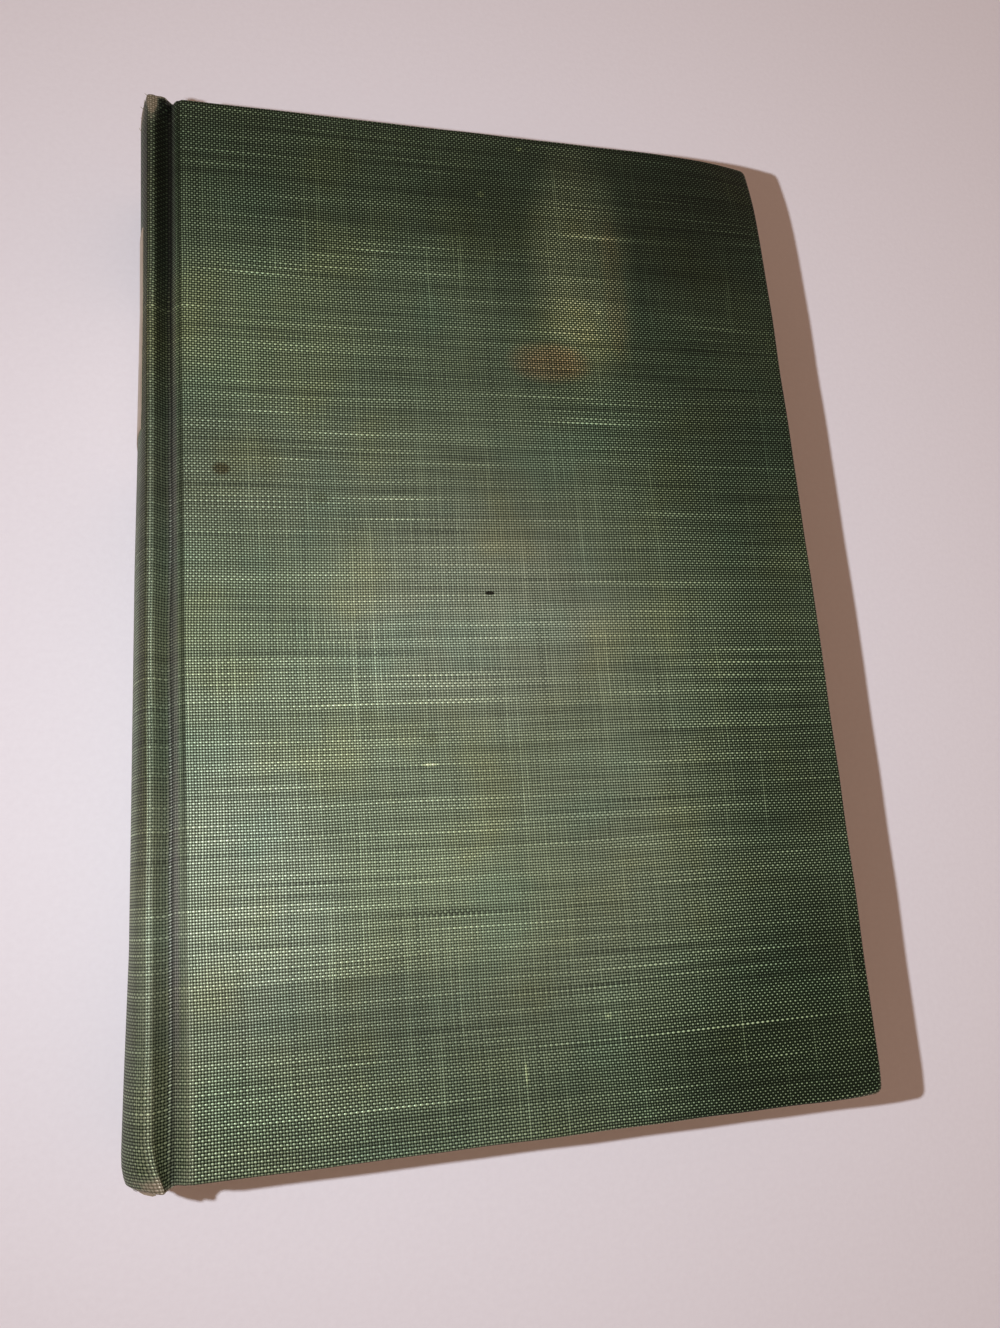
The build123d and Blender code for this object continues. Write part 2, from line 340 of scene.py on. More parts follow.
def crest_wear(x, y):
    """Rubbing of the ridge and of the board's joint edge, more towards the tail."""
    tail = smooth(-30, -88, y)
    if x < -3:
        most, middle, width = lerp(0.42, 0.55, tail), ridge[0] - 0.1, lerp(0.75, 1.15, tail)
    else:
        most, middle, width = lerp(0.2, 0.5, tail), lerp(-0.1, 0.5, tail), lerp(0.9, 1.2, tail)
    return most * math.exp(-(((x - middle) / width) ** 2))


def carried_wear(worn, along):
    """What the wear of a face still is where the cloth has gone round the edge."""
    return worn * (1 - smooth(hem_inset, hem_inset + 2.0, along))


def bridged(x, z, y):
    """How far the cap lifts the cloth over the joint's hollow, at the ends of the spine."""
    hollow = max(0.0, bridge_level - z) * (1 - smooth(-3.2, -2.2, x)) * smooth(-5.6, -4.6, x)
    return hollow * smooth(93.2, 95.0, abs(y))


# A post at a cover's edge: its point on the face, the ways out and down, how deep the edge is and
# how it rolls, and, at the head and the tail, the flat length to it and the cloth's height there.
Post = namedtuple("Post", "index place way down depth roll length height")


def cover_cloth_drawing():
    d = Drawing()
    stations = joint_stations() + [(x, cover_top, 0.0, 1.0) for x in board_places()]
    lengths = [0.0]
    for a, b in zip(stations, stations[1:]):
        lengths.append(lengths[-1] + math.hypot(b[0] - a[0], b[1] - a[1]))
    start = lengths[len(joint_stations())] - edge_radius
    lengths = [s - start for s in lengths]

    ends = {side: [cover_end + cap(st[0], side) for st in stations] for side in (-1, 1)}
    levels = spread(-1, 1, mesh_step / (cover_end - hem_inset))
    count = len(stations)

    def base(k, level):
        x, z = stations[k][:2]
        reach = ends[1][k] if level > 0 else ends[-1][k]
        y = level * (reach - hem_inset)
        return Vector((x, y, z + bridged(x, z, y)))

    rows = []
    for level in levels:
        row = []
        for k in range(count):
            place = base(k, level)
            worn = crest_wear(stations[k][0], place.y) + end_wear(place, ends[1 if level > 0 else -1][k])
            row.append(d.point(place, (lengths[k], place.y, worn)))
        rows.append(row)
    d.grid(rows)

    def end_posts(side):
        found = []
        for k, (x, z, nx, nz) in enumerate(stations):
            upright = smooth(-1.4, 0.0, x)
            down = Vector((-nx * (1 - upright), 0, -nz * (1 - upright) - upright)).normalized()
            depth, roll = cloth_depth(x)
            index = rows[-1 if side > 0 else 0][k]
            way = Vector((0, side, 0))
            found.append(Post(index, base(k, side), way, down, depth, roll, lengths[k], z))
        return found

    def fore_post(row, angle):
        way = Vector((math.cos(angle), math.sin(angle), 0))
        place, down = base(count - 1, levels[row]), Vector((0, 0, -1))
        return Post(rows[row][-1], place, way, down, board_thick, edge_roll, None, None)

    # Posts round the edge: along the head, round the fore corners and edge, and back along the tail.
    head_corner = [fore_post(-1, pi / 2 * (1 - k / 8)) for k in range(1, 8)]
    fore = [fore_post(row, 0.0) for row in reversed(range(len(levels)))]
    tail_corner = [fore_post(0, -pi / 2 * k / 8) for k in range(1, 8)]
    posts = end_posts(1) + head_corner + fore + tail_corner + end_posts(-1)[::-1]

    rings = [[post.index for post in posts]]
    profiles = [hem_steps(post.roll, post.depth) for post in posts]
    for step in range(len(profiles[0])):
        ring = []
        for post, profile in zip(posts, profiles):
            place, way = post.place, post.way
            out, fall, along = profile[step]
            spot = place + way * out + post.down * fall
            on_edge = math.exp(-(((along - hem_inset) / 0.7) ** 2))
            corner = math.exp(-((math.hypot(place.x - cover_front, abs(place.y) - cover_end) / 5) ** 2))
            cap_end = 1 - smooth(-3.0, -1.0, place.x)
            worn = on_edge * (0.3 + 0.75 * corner + 0.75 * cap_end)
            flat_x = place.x
            if post.length is not None:
                flat_x = post.length
                worn = max(worn, carried_wear(d.flat[post.index][2], along))
            ring.append(d.point(spot, (flat_x + way.x * along, place.y + way.y * along, worn)))
        rings.append(ring)
    d.grid(rings)

    # Turned-in cloth on the inside, mitred at the fore corners.
    depths_in = (1.2, 3.0, 6.0, 10.0, turn_in - hem_inset)
    for side, run in ((1, range(count)), (-1, range(len(posts) - count, len(posts)))):
        bands = [[rings[-1][p] for p in run]]
        for t in depths_in:
            band = []
            for p in run:
                post, place = posts[p], posts[p].place
                lean_in = max(0.0, (place.x - 20) / (cover_front - hem_inset - 20)) * t
                spot = place + post.down * post.depth - post.way * t - Vector((lean_in, 0, 0))
                if place.x < 0:
                    at_edge = bridged(place.x, post.height, place.y)
                    spot.z -= at_edge - bridged(place.x, post.height, abs(place.y) - t)
                along = profiles[p][-1][2] + t
                band.append(d.point(spot, (post.length - lean_in, place.y + side * along, 0.0)))
            bands.append(band)
        d.grid(bands)
    first = count + len(head_corner)
    round_edge = profiles[first][-1][2]
    bands = [rings[-1][first : first + len(fore)]]
    for t in depths_in:
        band = []
        for post in fore:
            x, y, z = post.place
            y *= 1 - t / (cover_end - hem_inset)
            overlap = 0.1 * smooth(70, 80, abs(y))
            spot = (x - t, y, z - post.depth - overlap)
            band.append(d.point(spot, (x + round_edge + t, y, 0.0), layer=1))
        bands.append(band)
    d.grid(bands)
    return d


def spine_cloth_drawing():
    d = Drawing()
    count = 44
    turns = [lerp(2 * pi - seam_angle, seam_angle, k / count) for k in range(count + 1)]
    levels = spread(-1, 1, mesh_step / cover_end)
    seam_length = joint_length()

    def length_at(turn):
        return seam_length - arc_radius * (turn - seam_angle)

    ends = {}
    for side in (-1, 1):
        ends[side] = [cover_end + cap(-7.0 - 20 * abs(turn - pi), side) for turn in turns]

    def base(k, level):
        reach = ends[1][k] if level > 0 else ends[-1][k]
        nx, nz = math.cos(turns[k]), math.sin(turns[k])
        place = Vector((arc_x + arc_radius * nx, level * (reach - hem_inset), arc_radius * nz))
        return place, Vector((-nx, 0, -nz))

    rows = []
    for level in levels:
        row = []
        for k in range(count + 1):
            place, _ = base(k, level)
            worn = 0.12 + end_wear(place, ends[1 if level > 0 else -1][k])
            row.append(d.point(place, (length_at(turns[k]), place.y, worn)))
        rows.append(row)
    d.grid(rows)
    profile = hem_steps(spine_roll, strip_thick)
    for side, order in ((1, range(count + 1)), (-1, reversed(range(count + 1)))):
        order = list(order)
        rings = [[rows[-1 if side > 0 else 0][k] for k in order]]
        for step in range(len(profile) + 4):
            ring = []
            for k in order:
                place, down = base(k, side)
                if step < len(profile):
                    out, fall, along = profile[step]
                else:
                    t = (3.0, 7.0, 11.0, turn_in - hem_inset)[step - len(profile)]
                    out, fall, along = -t, strip_thick, profile[-1][2] + t
                spot = place + Vector((0, side * out, 0)) + down * fall
                worn = math.exp(-(((along - hem_inset) / 1.1) ** 2))
                worn = max(worn, carried_wear(end_wear(place, ends[side][k]), along))
                ring.append(d.point(spot, (length_at(turns[k]), place.y + side * along, worn)))
            rings.append(ring)
        d.grid(rings)
    return d


def joint_length():
    """Flat place of the seam, left of the joint edge."""
    stations = joint_stations() + [(edge_radius, cover_top, 0, 1)]
    total = sum(math.hypot(b[0] - a[0], b[1] - a[1]) for a, b in zip(stations, stations[1:]))
    return edge_radius - total


# ---- Endpapers ----
def pastedown_face(x, y):
    """Level of the pastedown's face: over the turned-in cloth, down in the field, over the gauze."""
    turned = max(smooth(103.3, 104.7, x), smooth(78.2, 79.7, abs(y)))
    over_gauze = (1 - smooth(24.4, 25.8, x)) * (1 - smooth(76.8, 78.2, abs(y)))
    mitre = smooth(98, 106, x) * smooth(72, 80, abs(y))
    return lerp(inside_face + 0.45 - 0.25 * over_gauze, inside_face, turned) - 0.13 * mitre


def pastedown_drawing(seed):
    d = Drawing()
    hinge = [(-3.85, 12.6), (-3.4, 12.2), (-3.0, 11.95), (-2.4, 11.78), (-1.8, 11.62), (-0.9, 11.5)]
    places = spread(0.45, 24.0, mesh_step)[:-1] + spread(24.0, 26.2, 0.55)[:-1]
    places += spread(26.2, 102.9, 2.1)[:-1] + spread(102.9, 105.1, 0.44)[:-1]
    places += spread(105.1, pasted_fore, mesh_step)
    half = spread(0, 76.4, 2.2)[:-1] + spread(76.4, 80.4, 0.4)[:-1] + spread(80.4, pasted_end, 1.5)
    rows_y = [-y for y in reversed(half[1:])] + half
    rows = []
    for y in rows_y:
        row = []
        for x, z in hinge:
            row.append(d.point((x, y, z), (x - 2, y, 0.0)))
        for x in places:
            rim = min(pasted_fore - x, pasted_end - abs(y))
            trim = 0.12 * ripple(y / 9, seed, 2.0) * smooth(110, 117, x)
            z = pastedown_face(x, y) + 0.03 * ripple(x / 11, y / 11, seed)
            z += 0.06 * (1 - smooth(0.45, 2.5, x))
            row.append(d.point((x + trim, y, z), (x, y, 1 - smooth(0, 6, rim))))
        rows.append(row[::-1])
    d.grid(rows)
    return d


def leaf_level(x, y, z0):
    """Level of the leaf that lies z0 from the middle: up at the shoulder, pressed at the bump."""
    share = z0 / block_top
    rise = 1 + shoulder_rise / block_top * (1 - smooth(shoulder_x, root_x + 0.3, x))
    z = z0 * rise
    if z0 > 0:
        z += 0.3 * bow(x, y) * share**3 - dip(x, y) * share**1.5
    return z


def flyleaf_drawing(side):
    d = Drawing()
    top = block_top + 0.14
    foot = [(-3.85, 12.62), (-3.6, 12.4), (-3.2, 11.98), (-2.75, 11.45), (-2.3, 11.27)]
    places = spread(-1.8, 100.0, 2.2)[:-1] + spread(100.0, fore_edge - 0.1, 1.3)
    levels = spread(-page_end + 0.1, page_end - 0.1, 2.0)
    rows = []
    for y in levels:
        row = [d.point((x, y, z), (x, y, 0.3)) for x, z in foot]
        for x in places:
            z = top
            if side > 0:
                z += 0.3 * bow(x, y) - dip(x, y)
            rim = min(fore_edge - x, page_end - abs(y))
            row.append(d.point((x, y, z), (x, y, 1 - smooth(0, 7, rim))))
        rows.append(row)
    d.grid(rows)
    return d


# ---- Pages ----
def pages_drawing():
    """Folded sheets in gatherings, each leaf group with its own small set-back at the edges."""
    d = Drawing()
    across, along, groups = 46, 40, 78
    us = [k / across for k in range(across + 1)]
    vs = [lerp(-1, 1, k / along) for k in range(along + 1)]

    def place(u, v, z0, back):
        height = z0 * (1 + shoulder_rise / block_top)
        left = arc_x - math.sqrt(block_radius**2 - height**2)
        right = hollow_x - math.sqrt(block_radius**2 - z0**2) - back
        x = lerp(left, right, u**1.35)
        y = v * (page_end - 0.7 * back)
        return (x, y, leaf_level(x, y, z0)), (x, y, z0)

    def cap_rows(z0, back):
        return [[d.point(*place(u, v, z0, back)) for u in us] for v in vs]

    levels = []
    step = 2 * block_top / groups
    for g in range(groups):
        gather = 0.05 * math.sin(g * 2 * pi / 9.7)
        back = max(0.0, 0.11 + gather + 0.13 * (random.random() - 0.45))
        low = -block_top + g * step
        levels += [(low + 0.03, back), (low + step - 0.03, back)]
        if g < groups - 1:
            levels.append((low + step, back + 0.09))
    bottom, top = cap_rows(-block_top, 0.12), cap_rows(block_top, 0.12)
    d.grid([row[::-1] for row in bottom])
    d.grid(top)

    def rim(rows):
        head, tail = rows[-1], rows[0]
        right = [row[-1] for row in rows]
        left = [row[0] for row in rows]
        return tail + right[1:] + head[::-1][1:] + left[::-1][1:-1]

    loops = [rim(bottom)]
    for z0, back in levels:
        walk = [(u, -1) for u in us] + [(1, v) for v in vs[1:]]
        walk += [(u, 1) for u in us[::-1][1:]] + [(0, v) for v in vs[::-1][1:-1]]
        loops.append([d.point(*place(u, v, z0, back)) for u, v in walk])
    loops.append(rim(top))
    d.grid(loops, closed=True)
    return d


# ---- Head and tail bands ----
def band_drawing(end):
    """Bead of wound thread on the pages' end, and its tape down their spine."""
    d = Drawing()
    half = math.asin(band_half / band_radius)
    wraps, around = 74, 14
    steps = wraps * 4
    rings = []
    for k in range(steps + 1):
        t = k / steps
        turn = pi + lerp(-half, half, t)
        out = Vector((math.cos(turn), 0, math.sin(turn)))
        centre = Vector((arc_x, end * (page_end + bead_lift), 0)) + out * band_radius
        close = math.sqrt(max(0.0, 1 - max(0.0, abs(2 * t - 1) * 1.03 - 0.99) / 0.04 * 0.9))
        ring = []
        for j in range(around):
            a = 2 * pi * j / around
            wound = math.cos(2 * pi * (k / 4 - j / around))
            radius = (bead_radius + 0.055 * wound) * close
            spot = centre + out * radius * math.cos(a) + Vector((0, end * radius * math.sin(a), 0))
            ring.append(d.point(spot, (k / 4 + j / around, a, 0.0)))
        rings.append(ring)
    d.grid(rings if end > 0 else [ring[::-1] for ring in rings], closed=True)
    d.face(rings[0][::-1] if end > 0 else rings[0])
    d.face(rings[-1] if end > 0 else rings[-1][::-1])

    # The tape, a thin curved plate.
    turns = [pi + lerp(-half, half, k / 16) for k in range(17)]
    ys = [end * (page_end - 8.0), end * (page_end + 0.3)]
    loops = []
    for turn in turns:
        corner = []
        for radius, y in zip((tape_outer, tape_outer, tape_inner, tape_inner), ys + ys[::-1]):
            spot = (arc_x + radius * math.cos(turn), y, radius * math.sin(turn))
            corner.append(d.point(spot, (turn * 27, y, 1.0), layer=2))
        loops.append(corner[::-1] if end > 0 else corner)
    d.grid(loops, closed=True)
    d.face(loops[0][::-1])
    d.face(loops[-1])
    return d


# ---- Label on the spine ----
def label_drawing():
    d = Drawing()
    half = math.asin(label_half / arc_radius)
    turns = [lerp(pi + half, pi - half, k / 30) for k in range(31)]
    ys = spread(label_low, label_high, 1.2)
    radius = arc_radius + label_lift
    rows = []
    for y in ys:
        row = []
        for turn in turns:
            ragged = 0.28 * ripple(y / 2.3, 11.0 if turn < pi else 17.0, 3.0)
            ragged += 0.12 * ripple(y / 0.7, 4.0, 9.0)
            rim_turn = smooth(0.85, 1.0, abs(turn - pi) / half)
            turned = turn + ragged / radius * rim_turn * (1 if turn > pi else -1)
            from_end = min(y - label_low, label_high - y)
            ragged_y = 0.25 * ripple(turn * 12, 2.0, 8.0) * smooth(4, 0, from_end)
            spot = (arc_x + radius * math.cos(turned), y + ragged_y, radius * math.sin(turned))
            inner = min(from_end, (half - abs(turn - pi)) * radius)
            row.append(d.point(spot, (turn * radius, y, 1 - smooth(0, 3, inner))))
        rows.append(row)
    d.grid(rows)
    return d


# ---- Loose threads at the worn ends of the spine ----
def fray_drawing(end):
    d = Drawing()

    def strand(number, path, radius, tone):
        rings = []
        for k, spot in enumerate(path):
            ahead = path[min(k + 1, len(path) - 1)] - path[max(k - 1, 0)]
            ahead.normalize()
            side = ahead.cross(Vector((0.3, 0.1, 1.0))).normalized()
            over = ahead.cross(side)
            r = radius * (1 if k < len(path) - 1 else 0.35)
            ring = []
            for j in range(5):
                a = 2 * pi * j / 5
                place = spot + side * r * math.cos(a) + over * r * math.sin(a)
                ring.append(d.point(place, (k * 0.4, number, tone), layer=number))
            rings.append(ring)
        d.grid(rings, closed=True)
        d.face(rings[0][::-1])
        d.face(rings[-1])

    for number in range(40 if end > 0 else 5):
        # Where on the section: mostly the ridge and the upper part of the spine's curve.
        turn = pi - random.betavariate(2.2, 1.3) * 0.47
        if random.random() < 0.25:
            turn = 2 * pi - turn
        radius_at = arc_radius - random.uniform(0.0, 1.3)
        x, z = arc_x + radius_at * math.cos(turn), radius_at * math.sin(turn)
        if abs(z) > 12.9:
            x, z = random.uniform(-5.7, -4.2), math.copysign(random.uniform(13.9, 14.6), z)
        y = cover_end + (cap_out if end > 0 else 0.5) - random.uniform(0.05, 1.0)
        heading = Vector((random.gauss(0, 0.6), random.uniform(0.15, 0.9), random.gauss(0, 0.6)))
        length = random.uniform(0.3, 1.1) * (1 if end > 0 else 0.5)
        path = []
        for k in range(5):
            t = k / 4
            curl = Vector((math.sin(3 * t + x), 0.3 * math.cos(2 * t), math.cos(2 * t + z))) * 0.16 * t
            spot = Vector((x, y, z)) + heading.normalized() * length * t + curl
            path.append(Vector((spot.x, end * spot.y, spot.z)))
        strand(number + 1, path, random.uniform(0.035, 0.075), random.random())
    return d


# ---- Copies of hidden CAD pieces that follow the lean ----
def leaned_copy(node, name, shape, side=1, step=0):
    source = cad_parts[node]
    bm = bmesh.new()
    bm.from_mesh(source.data)
    low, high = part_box(node)
    if step:
        for axis in (0, 1):
            cut = low[axis] + step / 1000
            while cut < high[axis]:
                normal = Vector((axis == 0, axis == 1, 0))
                geometry = bm.verts[:] + bm.edges[:] + bm.faces[:]
                bmesh.ops.bisect_plane(bm, geom=geometry, plane_co=normal * cut, plane_no=normal)
                cut += step / 1000
    for vertex in bm.verts:
        x, y, z = Vector(vertex.co) * 1000 - frame_shift
        vertex.co = to_frame(x, y, side * z, shape, side)
    mesh = bpy.data.meshes.new(name)
    bm.to_mesh(mesh)
    bm.free()
    obj = bpy.data.objects.new(name, mesh)
    bpy.context.scene.collection.objects.link(obj)
    return obj


# ---- Finishes ----
class Socket:
    """A node's output; arithmetic on it adds Math nodes."""

    def __init__(self, finish, link):
        self.finish, self.link = finish, link

    def maths(self, operation, *values):
        return self.finish.node("ShaderNodeMath", {"operation": operation}, dict(enumerate(values)))

    def __add__(self, other):
        return self.maths("ADD", self, other)

    def __sub__(self, other):
        return self.maths("SUBTRACT", self, other)

    def __rsub__(self, other):
        return self.maths("SUBTRACT", other, self)

    def __mul__(self, other):
        return self.maths("MULTIPLY", self, other)

    def __gt__(self, other):
        return self.maths("GREATER_THAN", self, other)

    __radd__ = __add__
    __rmul__ = __mul__

    def floor(self):
        return self.maths("FLOOR", self)

    def cosine(self):
        return self.maths("COSINE", self)

    def above(self, other):
        return self.maths("MAXIMUM", self, other)

    def below(self, other):
        return self.maths("MINIMUM", self, other)

    def ramp(self, low, high):
        """0 at low to 1 at high, smoothly; low may be the larger."""
        sockets = {"Value": self, "From Min": low, "From Max": high}
        settings = {"interpolation_type": "SMOOTHSTEP"}
        return self.finish.node("ShaderNodeMapRange", settings, sockets)


class Finish:
    """A material made up node by node."""

    def __init__(self, name, **constants):
        self.material = bpy.data.materials.new(name)
        self.material.use_nodes = True
        self.tree = self.material.node_tree
        self.shader = self.tree.nodes["Principled BSDF"]
        for socket, value in constants.items():
            self.shader.inputs[socket.replace("_", " ")].default_value = value

    def feed(self, socket, value):
        if isinstance(value, Socket):
            self.tree.links.new(value.link, socket)
        else:
            socket.default_value = value

    def node(self, kind, settings=None, sockets=None, output=0):
        node = self.tree.nodes.new(kind)
        for key, value in (settings or {}).items():
            setattr(node, key, value)
        for key, value in (sockets or {}).items():
            self.feed(node.inputs[key], value)
        return Socket(self, node.outputs[output])

    def parts(self, place):
        """x, y and z of a place."""
        node = self.node("ShaderNodeSeparateXYZ", None, {0: place}).link.node
        return [Socket(self, output) for output in node.outputs]

    def flat(self):
        """The three numbers of a point's place on the flat cloth or paper."""
        return self.parts(self.node("ShaderNodeAttribute", {"attribute_name": "flat"}, output=1))

    def solid(self):
        """A point's own place in the piece, in metres."""
        return self.node("ShaderNodeTexCoord", output=3)

    def vector(self, x, y, z=0.0):
        return self.node("ShaderNodeCombineXYZ", None, {0: x, 1: y, 2: z})

    def cloud(self, place, detail, rough=0.5, scale=1.0):
        sockets = {"Vector": place, "Scale": scale, "Detail": detail, "Roughness": rough}
        return self.node("ShaderNodeTexNoise", {"noise_dimensions": "3D"}, sockets)

    def mixed(self, share, a, b, blend="MIX"):
        a, b = [value if isinstance(value, Socket) else (*value, 1) for value in (a, b)]
        settings = {"data_type": "RGBA", "blend_type": blend, "clamp_factor": True}
        return self.node("ShaderNodeMix", settings, {0: share, 6: a, 7: b}, output=2)

    def tinted(self, colour, tint, share=1.0):
        """A colour multiplied by a tint, in full or by a share."""
        return self.mixed(share, colour, tint, "MULTIPLY")

    def grey(self, value):
        return self.node("ShaderNodeCombineColor", None, {0: value, 1: value, 2: value})

    def finished(self, colour, roughness, metallic=0.0, bump=None):
        """The material; bump is its (height, distance, strength)."""
        for socket, value in (("Base Color", colour), ("Roughness", roughness), ("Metallic", metallic)):
            self.feed(self.shader.inputs[socket], value)
        if bump:
            sockets = dict(zip(("Height", "Distance", "Strength"), bump))
            self.feed(self.shader.inputs["Normal"], self.node("ShaderNodeBump", None, sockets))
        return self.material


def spot_mark(x, y, at, reach, hard):
    """1 inside an oval mark, fading out at its edge."""
    dx, dy = (x - at[0]) * (1 / reach[0]), (y - at[1]) * (1 / reach[1])
    return (dx * dx + dy * dy).ramp(1.0, hard * hard)


def book_cloth(name, marks_and_sheen, offset, fade=0.0):
    """Green plain-weave book cloth, worn pale on the crowns of its threads, with painted shade and
    painted sheen.
    """
    f = Finish(name, IOR=1.5, Specular_IOR_Level=0.13)
    x, y, wear = f.flat()

    def cloud(scale_x, scale_y, shift, detail, rough=0.5):
        return f.cloud(f.vector(x * scale_x, y * scale_y, offset + shift), detail, rough)

    # Numbers of the warp and weft threads, which wander a little, and the place within each.
    u = x * (1 / thread_pitch) + cloud(0.035, 0.035, 0, 1.0) * 2.4
    v = y * (1 / thread_pitch) + cloud(0.02, 0.05, 9, 1.0) * 2.4
    i, j = u.floor(), v.floor()
    fu, fv = u - i - 0.5, v - j - 0.5

    # Each thread is a round-backed line that rides over one crossing and under the next.
    weft_slub = f.cloud(f.vector(x * 0.017, j * 3.17, offset), 3.0, 0.62)
    warp_slub = f.cloud(f.vector(i * 2.31, y * 0.02, offset + 5), 3.0, 0.6)
    weft_fat, warp_fat = weft_slub.ramp(0.58, 0.8), warp_slub.ramp(0.58, 0.8)
    weft = ((u - 0.5 + j) * pi).cosine() * 0.045 + (fv * pi).cosine() * (0.083 + weft_fat * 0.045)
    warp = ((v - 0.5 + i) * pi).cosine() * -0.045 + (fu * pi).cosine() * (0.062 + warp_fat * 0.03)
    height = weft.above(warp)
    weft_on_top = weft > warp

    # Paler over the middle and lower left, darker towards the head, the tail and the fore edge: partly
    # fading and handling dirt, partly painted sheen where the lamp's glare falls and painted fall-off of
    # its light.
    rub_and_sheen = 1.7 - y.ramp(-12.0, 46.0) * 0.87 - y.ramp(44.0, 95.0) * 0.4
    rub_and_sheen = rub_and_sheen * (1.0 - x.ramp(48.0, 110.0) * 0.59) * (1.0 - y.ramp(-50.0, -92.0) * 0.48)
    unworn_and_dim = rub_and_sheen.ramp(1.35, 0.4)
    crisp = x.ramp(50.0, 105.0) * y.ramp(50.0, -40.0)
    crown = height.ramp(unworn_and_dim * 0.045 + crisp * 0.016 + 0.034, 0.125)

    # Near-black between the threads, which is painted shade in the weave's hollows; grey-green on their
    # crowns, uneven thread by thread.
    weft_tone = (weft_slub * 3.0 - 0.5).above(0.25)
    warp_tone = (warp_slub * 1.7 + 0.15).above(0.25)
    deep = f.mixed(weft_on_top, (0.0035, 0.0065, 0.0025), (0.005, 0.009, 0.0035))
    pale_warp = f.mixed(unworn_and_dim, (0.255, 0.32, 0.20), (0.20, 0.255, 0.155))
    pale_weft = f.mixed(unworn_and_dim, (0.285, 0.355, 0.228), (0.31, 0.385, 0.245))
    colour = f.mixed(crown, deep, f.mixed(weft_on_top, pale_warp, pale_weft))
    colour = f.tinted(colour, f.mixed(weft_on_top, f.grey(warp_tone), f.grey(weft_tone)))

    # Uneven fading in broad patches, and a few olive and blue-green ones.
    broad = cloud(0.022, 0.022, 2, 4.0, 0.55)
    hue = cloud(0.05, 0.05, 12, 3.0)
    colour = f.tinted(colour, f.grey(broad * 0.9 + 0.55))
    colour = f.tinted(colour, (1.16, 1.04, 0.82), hue.ramp(0.5, 0.72) * 0.5)
    colour = f.tinted(colour, (0.86, 1.0, 1.05), hue.ramp(0.5, 0.3) * 0.5)
    # Brighter where the cloth is pale over the middle and lower left, which carries painted sheen and
    # painted light fall-off, and towards the lower fore edge; greener where the cloth is dim.
    colour = f.tinted(colour, f.grey(rub_and_sheen * (unworn_and_dim * 1.2 + crisp * 0.55 + 0.82)))
    colour = f.tinted(colour, (0.95, 1.1, 1.02), unworn_and_dim)
    if fade:
        colour = f.mixed(fade, colour, f.mixed(crown, (0.04, 0.04, 0.028), (0.17, 0.165, 0.125)))

    # The hollow of the joint has lost its green. Painted shade darkens its steep side and its bottom,
    # more towards the head.
    joint = x.ramp(-3.8, -2.8) * x.ramp(-0.6, -1.8)
    joint = joint * (y.ramp(-95.0, -60.0) * 0.45 + 0.15 - y.ramp(10.0, 60.0) * 0.15)
    colour = f.mixed(joint, colour, f.mixed(crown, (0.012, 0.012, 0.011), (0.37, 0.33, 0.305)))
    groove_shade = x.ramp(-6.4, -5.2) * x.ramp(-2.3, -3.1) * (y.ramp(0.0, 62.0) * 0.6 + 0.28)
    colour = f.tinted(colour, (0.08, 0.08, 0.075), groove_shade)

    # Painted shade in a crease at the board's joint edge, in the bottom of the hollow and along the
    # spine's shoulder.
    crease = x.ramp(-0.8, -0.2) * x.ramp(0.8, 0.2) * y.ramp(-75.0, -25.0)
    colour = f.tinted(colour, (0.3, 0.3, 0.28), crease * 0.75)
    hollow = x.ramp(-3.5, -3.05) * x.ramp(-2.2, -2.6)
    colour = f.tinted(colour, (0.3, 0.3, 0.28), hollow * 0.62)
    shoulder = x.ramp(-6.2, -7.0) * x.ramp(-11.0, -8.5) * y.ramp(-80.0, -30.0)
    colour = f.tinted(colour, (0.34, 0.29, 0.22), shoulder * 0.85)

    # Rubbed ridges, edges and corners: the crowns first, bare threads where it has gone furthest.
    uneven = cloud(0.6, 0.6, 3, 5.0, 0.75)
    rub = (wear * 1.25 + uneven * 0.9 - 0.72).above(0.0).below(1.0)
    colour = f.mixed(rub * (crown * 0.85 + 0.15) * 1.1, colour, (0.33, 0.365, 0.25))
    bare = (wear + uneven * 0.8 - 0.98).ramp(0.0, 0.35)
    colour = f.mixed(bare, colour, f.mixed(crown, (0.15, 0.13, 0.08), (0.52, 0.47, 0.35)))

    ragged = (cloud(0.25, 0.25, 7, 3.0, 0.6) * 1.2 + 0.35).below(1.0)
    # Marks on the cloth; on the front cover the first of them is painted sheen.
    for at, reach, amount, tint, hard in marks_and_sheen:
        colour = f.tinted(colour, tint, spot_mark(x, y, at, reach, hard) * ragged * amount)

    fine = cloud(4.0, 4.0, 0, 2.0, 0.7)
    roughness = 0.5 - crown * 0.1 + broad * 0.06
    return f.finished(colour, roughness, crown * 0.6, bump=(height + fine * 0.02, 0.001, 1.0))


def paper(name, colour, edge_colour, foxing):
    """Aged uncoated paper, browner towards its edges, with a few rust-brown freckles."""
    f = Finish(name, IOR=1.4)
    x, y, rim = f.flat()
    place = f.vector(x, y)
    broad = f.cloud(place, 4.0, 0.55, 0.03)
    fibre = f.cloud(f.vector(x * 2.2, y * 2.2), 5.0, 0.7)
    base = f.mixed((rim * 0.7 + broad * 0.5 - 0.15).above(0.0), colour, edge_colour)
    base = f.tinted(base, f.grey(fibre * 0.16 + 0.92))
    freckle = f.cloud(place, 3.0, 0.7, 0.16).ramp(0.66, 0.8) * foxing
    base = f.mixed(freckle, base, (0.36, 0.20, 0.09))
    return f.finished(base, fibre * 0.1 + 0.8, bump=(fibre, 0.00005, 0.5))


